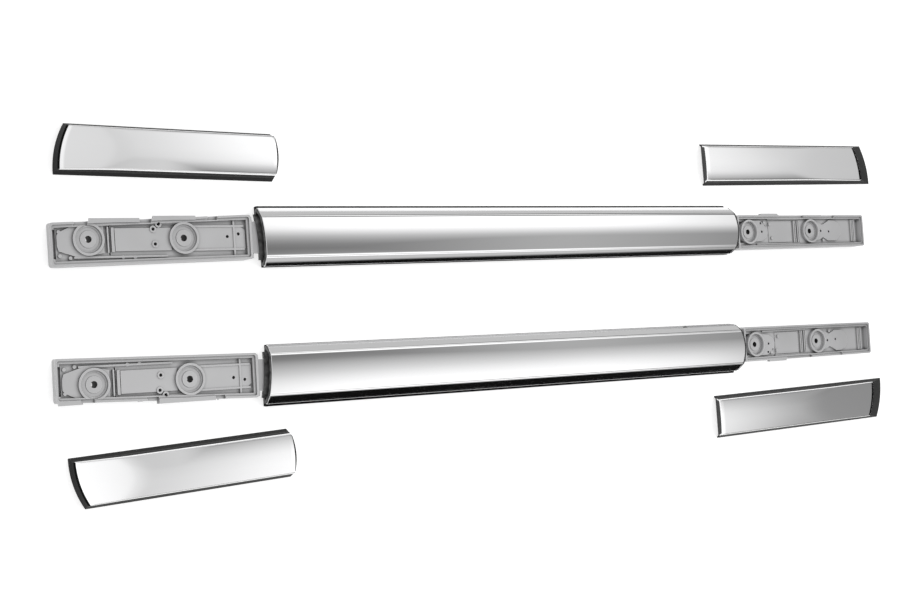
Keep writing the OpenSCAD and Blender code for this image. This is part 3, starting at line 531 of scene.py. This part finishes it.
def cap_ends(end, cap, y, z):
    """X of the inner and outer ends of the bright shell at (y, z)."""
    short, back = (0.0, FRONT_BAND) if end == "front" else (REAR_SLOPE, CAP_WALL / 2)
    outer = cap["length"] - short - END_ROUND
    outer += math.sqrt((END_ROUND - back) ** 2 - (y - END_IN + cap["w"] / 2) ** 2)
    if end == "rear":
        return -REAR_RUN * z / CAP_H, outer
    r = ((cap["w"] / 2) ** 2 + FRONT_IN_BOW ** 2) / (2 * FRONT_IN_BOW)
    t = FRONT_IN_RUN / CAP_H
    bow = (r - math.sqrt(r * r - y * y)) * math.sqrt(1 + t * t)
    return z * t - FRONT_IN_RUN - FRONT_IN_BOW + bow, outer


def cap_outline(end, cap, x):
    """Outline of the shell across the cap at x, from the outboard foot over the face, edges rounded."""
    foot, edge = cap["w"] / 2 - SKIRT_LEAN, cap["w"] / 2 - CAP_BEVEL
    low, high = SKIRT_H, CAP_H - CROWN
    wall_steps, edge_steps, face_steps = 4, 5, 34
    y = edge
    for _ in range(4):
        y = foot + (edge - foot) * (cap_top(end, cap, x, y) - low) / (high - low)
    corner = Vector((y, cap_top(end, cap, x, y)))
    down = (Vector((foot, low)) - corner).normalized() * CAP_EDGE
    flat = y - CAP_EDGE
    across = Vector((flat, cap_top(end, cap, x, flat)))
    half = [Vector((foot, low)).lerp(corner + down, k / wall_steps) for k in range(wall_steps + 1)]
    for k in range(1, edge_steps + 1):
        t = k / edge_steps
        half.append((corner + down) * (1 - t) ** 2 + corner * (2 * t * (1 - t)) + across * t ** 2)
    right = [(p.x, p.y) for p in half]
    face = [flat - 2 * flat * k / face_steps for k in range(1, face_steps)]
    return right + [(v, cap_top(end, cap, x, v)) for v in face] + [(-a, b) for a, b in reversed(right)]


def open_normals(outline):
    """Unit normals of an outline that isn't closed, turned away from the cap's inside."""
    n = len(outline)
    out = []
    for j in range(n):
        along = Vector(outline[min(j + 1, n - 1)]) - Vector(outline[max(j - 1, 0)])
        along.normalize()
        out.append((along.y, -along.x))
    return out


def shell_mesh(name, hand, end, material, foot_material):
    """Bright shell of a cap with its real wall, open below and at both ends. Its side walls are dark
    at the foot."""
    cap = CAPS[hand, end]
    length = cap["length"]
    long_steps = 48
    # Share of the length, shift along it and inset of the outer skin, which rounds the rims
    stops = [(0, 0.0, 0.4), (0, 0.12, 0.12), (0, 0.4, 0.0)]
    stops += [(k / long_steps, 0.0, 0.0) for k in range(1, long_steps)]
    stops += [(1, -0.4, 0.0), (1, -0.12, 0.12), (1, 0.0, 0.4)]
    n = len(cap_outline(end, cap, 0))
    verts = []
    for share, shift, inset in stops:
        x = [length * share] * n
        for _ in range(3):
            outline = [cap_outline(end, cap, min(max(v, 0), length))[j] for j, v in enumerate(x)]
            ends = [cap_ends(end, cap, y, z) for y, z in outline]
            x = [a + (b - a) * share + shift for a, b in ends]
        normal = open_normals(outline)
        for depth, order in ((inset, range(n)), (CAP_WALL, reversed(range(n)))):
            for j in order:
                y, z = outline[j][0] - normal[j][0] * depth, outline[j][1] - normal[j][1] * depth
                verts.append((x[j], y, max(z, SKIRT_H)))
    loop = 2 * n
    faces = grid_faces(len(stops), loop)
    last = (len(stops) - 1) * loop
    for j in range(n - 1):
        i = loop - 1 - j
        faces.append((i, i - 1, j + 1, j))
        faces.append((last + j, last + j + 1, last + i - 1, last + i))
    shell = add_mesh(name, verts, faces, cap_matrix(hand, end), material)
    shell.data.materials.append(foot_material)
    for i in range(len(stops) - 1):
        for j in (0, 1, 2, n - 4, n - 3, n - 2):
            shell.data.polygons[i * loop + j].material_index = 1
    return shell


for hand, side in SIDES.items():
    tube = tube_mesh(hand + "_bright_tube", side, CHROME)
    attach(tube, "root")
    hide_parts(hand + "_tube")
    trim = trim_mesh(hand + "_base_trim", side, DARK)
    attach(trim, "root")
    for end in ("front", "rear"):
        dress(f"{hand}_{end}_bracket", CAST, 0.5)
        dress(f"{hand}_{end}_pad", RUBBER)
        shell = shell_mesh(f"{hand}_{end}_bright_cap", hand, end, CAP_CHROME, DARK)
        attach(shell, "root")
        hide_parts(f"{hand}_{end}_cap_shell")
        skirt = dress(f"{hand}_{end}_cap_skirt", DARK)
        seal = dress(f"{hand}_{end}_cap_seal", SEAL)
        shell.visible_glossy = skirt.visible_glossy = seal.visible_glossy = False
    dress(hand + "_front_collar", COLLAR)
    dress(hand + "_rear_gasket", RUBBER)
dress("tongue_screws", STEEL)

# Floor: pale, and lifted to white only where the camera or a reflection sees it
FLOOR_TONE, FLOOR_LIFT, FLOOR_SIZE, FLOOR_Z = 0.62, 0.62, 30, -0.0003


def make_floor():
    m, nodes, links, shader = new_material("floor")
    shader.inputs["Base Color"].default_value = (FLOOR_TONE, FLOOR_TONE, FLOOR_TONE, 1)
    shader.inputs["Roughness"].default_value = 0.9
    shader.inputs["Specular IOR Level"].default_value = 0.0
    shader.inputs["Emission Color"].default_value = (1, 1, 1, 1)
    path = nodes.new("ShaderNodeLightPath")
    seen = math_node(nodes, links, "MAXIMUM", path.outputs["Is Camera Ray"], path.outputs["Is Glossy Ray"])
    links.new(math_node(nodes, links, "MULTIPLY", seen, FLOOR_LIFT), shader.inputs["Emission Strength"])
    bpy.ops.mesh.primitive_plane_add(size=FLOOR_SIZE, location=(0, 0, FLOOR_Z))
    plane = bpy.context.object
    plane.name = "floor"
    plane.data.materials.append(m)
    return plane


floor = make_floor()

# Sky: tones from -Y, at 0, to +Y, at 1, for light on matt surfaces and for reflections low and high in it
SOFT_SKY = [(0.0, 0.08), (0.5, 0.46), (1.0, 1.0)]
LOW_SKY = [(0.10, 0.005), (0.19, 0.012), (0.30, 0.25), (0.70, 0.35), (0.80, 0.58)]
HIGH_SKY = [(0.0, 0.60), (0.17, 0.60), (0.20, 0.0), (0.80, 0.0), (0.875, 0.02), (0.90, 0.60)]
LOW_TO_HIGH, BEHIND_BOX, FRONT_SKY = (0.14, 0.175), (0.0, 0.25), 0.3


def make_sky():
    """Sky that is white to the camera. High up toward +X its reflection is black behind the soft box,
    which lets reflected rays through, and toward -X it is at least FRONT_SKY."""
    world = bpy.data.worlds.new("studio")
    bpy.context.scene.world = world
    world.use_nodes = True
    nodes, links = world.node_tree.nodes, world.node_tree.links
    path = nodes.new("ShaderNodeLightPath")
    coord = nodes.new("ShaderNodeTexCoord")
    way = nodes.new("ShaderNodeSeparateXYZ")
    links.new(coord.outputs["Generated"], way.inputs["Vector"])
    across = range_node(nodes, links, way.outputs["Y"], -1.0, 1.0)
    low = ramp_node(nodes, links, across, LOW_SKY)
    high = ramp_node(nodes, links, across, HIGH_SKY)
    toward_front = range_node(nodes, links, way.outputs["X"], *BEHIND_BOX, FRONT_SKY, 0.0)
    high = math_node(nodes, links, "MAXIMUM", high, toward_front)
    height = range_node(nodes, links, way.outputs["Z"], *LOW_TO_HIGH)
    mirrored = mix_node(nodes, links, height, low, high)
    soft = ramp_node(nodes, links, across, SOFT_SKY)
    light = mix_node(nodes, links, path.outputs["Is Glossy Ray"], soft, mirrored)
    seen = mix_node(nodes, links, path.outputs["Is Camera Ray"], light, (1, 1, 1, 1))
    background = nodes["Background"]
    links.new(seen, background.inputs["Color"])
    background.inputs["Strength"].default_value = 1.0


make_sky()

# Soft box, in metres: long, close over the pair, dim along its middle and toward the rear ends
BOX_X, BOX_Y, BOX_Z, BOX_START, BOX_WATTS = 3.0, 1.24, 0.5, -1.1, 15.9
ACROSS = [
    (0.0, 0.95), (0.25, 0.95), (0.315, 0.90), (0.341, 0.84), (0.367, 0.76), (0.391, 0.67), (0.415, 0.57),
    (0.44, 0.48), (0.465, 0.39), (0.484, 0.31), (0.505, 0.21), (0.531, 0.17), (0.556, 0.20), (0.581, 0.28),
    (0.609, 0.42), (0.634, 0.62), (0.661, 0.86), (0.685, 0.95), (0.742, 1.0), (0.86, 1.0), (0.93, 0.5),
    (1.0, 0.25)]
ALONG = [
    (-1.1, 0.50), (-0.70, 0.52), (-0.57, 0.54), (-0.476, 0.56), (-0.362, 0.70), (-0.258, 0.84),
    (-0.128, 0.95), (0.0, 1.0), (0.47, 1.0), (0.652, 0.90), (0.834, 0.77), (0.99, 0.64), (1.094, 0.55),
    (1.258, 0.48), (1.46, 0.45), (1.9, 0.42)]


def make_soft_box():
    data = bpy.data.lights.new("soft_box", "AREA")
    data.shape = "RECTANGLE"
    data.size, data.size_y, data.energy = BOX_X, BOX_Y, BOX_WATTS
    data.use_nodes = True
    nodes, links = data.node_tree.nodes, data.node_tree.links
    where = nodes.new("ShaderNodeNewGeometry")
    split = nodes.new("ShaderNodeSeparateXYZ")
    links.new(where.outputs["Parametric"], split.inputs["Vector"])

    def box_range(axis, start, end, low, high):
        """Value that goes smoothly from low to high between two places on the box, in metres."""
        first, size = (BOX_START, BOX_X) if axis == "X" else (-BOX_Y / 2, BOX_Y)
        start, end = (start - first) / size, (end - first) / size
        return range_node(nodes, links, split.outputs[axis], start, end, low, high, "SMOOTHSTEP")

    def combine(kind, a, b):
        return math_node(nodes, links, kind, a, b)

    across = ramp_node(nodes, links, split.outputs["Y"], ACROSS)
    stops = [((x - BOX_START) / BOX_X, value) for x, value in ALONG]
    along = ramp_node(nodes, links, split.outputs["X"], stops, "B_SPLINE")
    # Toward the box's front end the dim strip is filled, and toward its rear end it is a little less dim
    filled = combine("MAXIMUM", across, box_range("X", -0.45, -0.30, 0.85, 0.0))
    filled = combine("MAXIMUM", filled, box_range("X", -0.15, 0.45, 0.17, 0.33))
    # On the left rail's side the box is dimmer toward the rear and brighter toward the front
    left_side = box_range("Y", -0.20, -0.05, 1.0, 0.0)
    dim = combine("MULTIPLY", left_side, box_range("X", 0.75, 1.30, 0.0, 0.48))
    raised = combine("MULTIPLY", left_side, box_range("X", -0.76, -0.46, 0.7, 0.0))
    level = combine("ADD", combine("SUBTRACT", 1.0, dim), raised)
    level = combine("MULTIPLY", level, along)
    links.new(combine("MULTIPLY", filled, level), nodes["Emission"].inputs["Strength"])
    box = bpy.data.objects.new("soft_box", data)
    box.location = (BOX_START + BOX_X / 2, 0.0, BOX_Z)
    bpy.context.scene.collection.objects.link(box)


make_soft_box()

# The photograph's view: 36 degrees off the normal of the broad faces, toward the front ends
YAW, TILT, ROLL = math.radians(35.987), math.radians(1.87), math.radians(-3.645)
FOCAL_PX, PHOTO_W, SENSOR_W = 1496.6, 920, 36.0
DISTANCE, LOOK = 2301.6, SHIFT + Vector((-119.75, -11.35, 0))


def make_camera():
    flat_right = Vector((math.cos(YAW), 0, math.sin(YAW)))
    flat_back = Vector((-math.sin(YAW), 0, math.cos(YAW)))
    flat_up = Vector((0, 1, 0))
    tilted_up = flat_up * math.cos(TILT) + flat_back * math.sin(TILT)
    back = flat_back * math.cos(TILT) - flat_up * math.sin(TILT)
    right = flat_right * math.cos(ROLL) + tilted_up * math.sin(ROLL)
    up = tilted_up * math.cos(ROLL) - flat_right * math.sin(ROLL)
    obj = bpy.data.objects.new("camera", bpy.data.cameras.new("camera"))
    bpy.context.scene.collection.objects.link(obj)
    obj.data.sensor_fit = "HORIZONTAL"
    obj.data.sensor_width = SENSOR_W
    obj.data.lens = FOCAL_PX / PHOTO_W * SENSOR_W
    obj.data.clip_end = 100.0
    place = Matrix((right, up, back)).transposed().to_4x4()
    place.translation = (LOOK + back * DISTANCE) * MM
    obj.matrix_world = place
    return obj


bpy.context.scene.camera = make_camera()
bpy.context.scene.view_settings.view_transform = "Standard"
